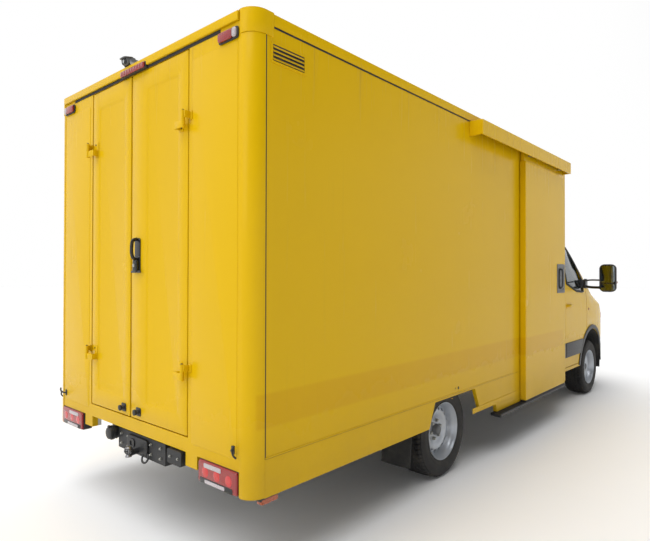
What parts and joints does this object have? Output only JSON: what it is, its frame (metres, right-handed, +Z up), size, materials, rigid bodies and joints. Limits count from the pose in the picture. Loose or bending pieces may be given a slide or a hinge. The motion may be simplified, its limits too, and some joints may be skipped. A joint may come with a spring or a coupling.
{
  "type": "closed box-body delivery van",
  "caption": "Yellow closed box van on a light chassis cab, with two rear leaves, a sliding side door, opening cab doors and bonnet, and steered front wheels.",
  "frame": {"origin": "middle of the bounding box seen from above, on the ground under the tyres", "axes": "+Z up, +Y towards the cab's front, +X to the vehicle's right, where the sliding door is"},
  "size_m": [2.7, 6.6322, 2.758],
  "materials": {
    "yellow_paint": "gloss",
    "black_steel": "satin",
    "black_plastic": "matte",
    "plain_grey": "matte",
    "exhaust_steel": "satin",
    "floor_grey": "matte",
    "clear_glass": "gloss",
    "clear_lens": "gloss",
    "red_lens": "gloss",
    "camera_grey": "gloss",
    "seat_cloth": "woven",
    "tyre_rubber": "matte",
    "wheel_steel": "satin"
  },
  "bodies": {
    "root": {"chassis_frame": "black_steel", "engine_block": "plain_grey", "rear_axle": "black_steel", "fuel_tank": "black_plastic", "exhaust": "exhaust_steel", "load_floor": "floor_grey", "left_side_wall": "yellow_paint", "right_side_wall": "yellow_paint", "left_skirt": "yellow_paint", "right_skirt": "yellow_paint", "box_roof": "yellow_paint", "box_front_wall": "yellow_paint", "rear_frame": "yellow_paint", "door_rail_cover": "yellow_paint", "running_board": "black_plastic", "cab_body": "yellow_paint", "windscreen": "clear_glass", "front_bumper": "black_plastic", "grille": "black_plastic", "headlight_left": "clear_lens", "headlight_right": "clear_lens", "dashboard": "black_plastic", "steering_wheel": "black_plastic", "driver_seat": "seat_cloth", "passenger_seat": "seat_cloth", "tail_light_left": "red_lens", "tail_light_right": "red_lens", "brake_light": "red_lens", "reversing_camera": "camera_grey", "tow_bar": "black_steel"},
    "rear_door_left": {"rear_door_left": "yellow_paint"},
    "rear_door_right": {"rear_door_right": "yellow_paint", "rear_door_handle": "black_plastic"},
    "sliding_door": {"sliding_door": "yellow_paint"},
    "cab_door_left": {"cab_door_left": "yellow_paint", "cab_glass_left": "clear_glass", "mirror_left": "black_plastic"},
    "cab_door_right": {"cab_door_right": "yellow_paint", "cab_glass_right": "clear_glass", "mirror_right": "black_plastic"},
    "bonnet": {"bonnet": "yellow_paint"},
    "front_knuckle_left": {"front_knuckle_left": "black_steel"},
    "front_knuckle_right": {"front_knuckle_right": "black_steel"},
    "wheel_front_left": {"tyre_front_left": "tyre_rubber", "rim_front_left": "wheel_steel"},
    "wheel_front_right": {"tyre_front_right": "tyre_rubber", "rim_front_right": "wheel_steel"},
    "wheel_rear_left": {"tyre_rear_left": "tyre_rubber", "rim_rear_left": "wheel_steel"},
    "wheel_rear_right": {"tyre_rear_right": "tyre_rubber", "rim_rear_right": "wheel_steel"}
  },
  "joints": [
    {"name": "rear_door_left_hinge", "type": "hinge", "parent": "root", "child": "rear_door_left", "pos_m": [-0.535, -3.27685, 1.574], "axis": [0, 0, 1], "range_deg": [-180, 0]},
    {"name": "rear_door_right_hinge", "type": "hinge", "parent": "root", "child": "rear_door_right", "pos_m": [0.535, -3.27685, 1.574], "axis": [0, 0, 1], "range_deg": [0, 180]},
    {"name": "sliding_door_slide", "type": "slide", "parent": "root", "child": "sliding_door", "axis": [0, -1, 0], "range_m": [0, 0.94]},
    {"name": "cab_door_left_hinge", "type": "hinge", "parent": "root", "child": "cab_door_left", "pos_m": [-0.998, 2.09815, 1.074], "axis": [0, 0, 1], "range_deg": [-68, 0]},
    {"name": "cab_door_right_hinge", "type": "hinge", "parent": "root", "child": "cab_door_right", "pos_m": [0.998, 2.09815, 1.074], "axis": [0, 0, 1], "range_deg": [0, 68]},
    {"name": "bonnet_hinge", "type": "hinge", "parent": "root", "child": "bonnet", "pos_m": [0, 2.47715, 1.326], "axis": [1, 0, 0], "range_deg": [0, 50]},
    {"name": "steer_left", "type": "hinge", "parent": "root", "child": "front_knuckle_left", "pos_m": [-0.78, 2.31215, 0.33], "axis": [0, 0, 1], "range_deg": [-35, 35]},
    {"name": "steer_right", "type": "hinge", "parent": "root", "child": "front_knuckle_right", "pos_m": [0.78, 2.31215, 0.33], "axis": [0, 0, 1], "range_deg": [-35, 35]},
    {"name": "wheel_front_left_spin", "type": "hinge", "parent": "front_knuckle_left", "child": "wheel_front_left", "pos_m": [-0.855, 2.31215, 0.33], "axis": [1, 0, 0], "continuous": true},
    {"name": "wheel_rear_left_spin", "type": "hinge", "parent": "root", "child": "wheel_rear_left", "pos_m": [-0.855, -1.35285, 0.33], "axis": [1, 0, 0], "continuous": true},
    {"name": "wheel_front_right_spin", "type": "hinge", "parent": "front_knuckle_right", "child": "wheel_front_right", "pos_m": [0.855, 2.31215, 0.33], "axis": [1, 0, 0], "continuous": true},
    {"name": "wheel_rear_right_spin", "type": "hinge", "parent": "root", "child": "wheel_rear_right", "pos_m": [0.855, -1.35285, 0.33], "axis": [1, 0, 0], "continuous": true}
  ],
  "couplings": [
    {"joint": "steer_right", "follows": "steer_left", "ratio": 1}
  ]
}
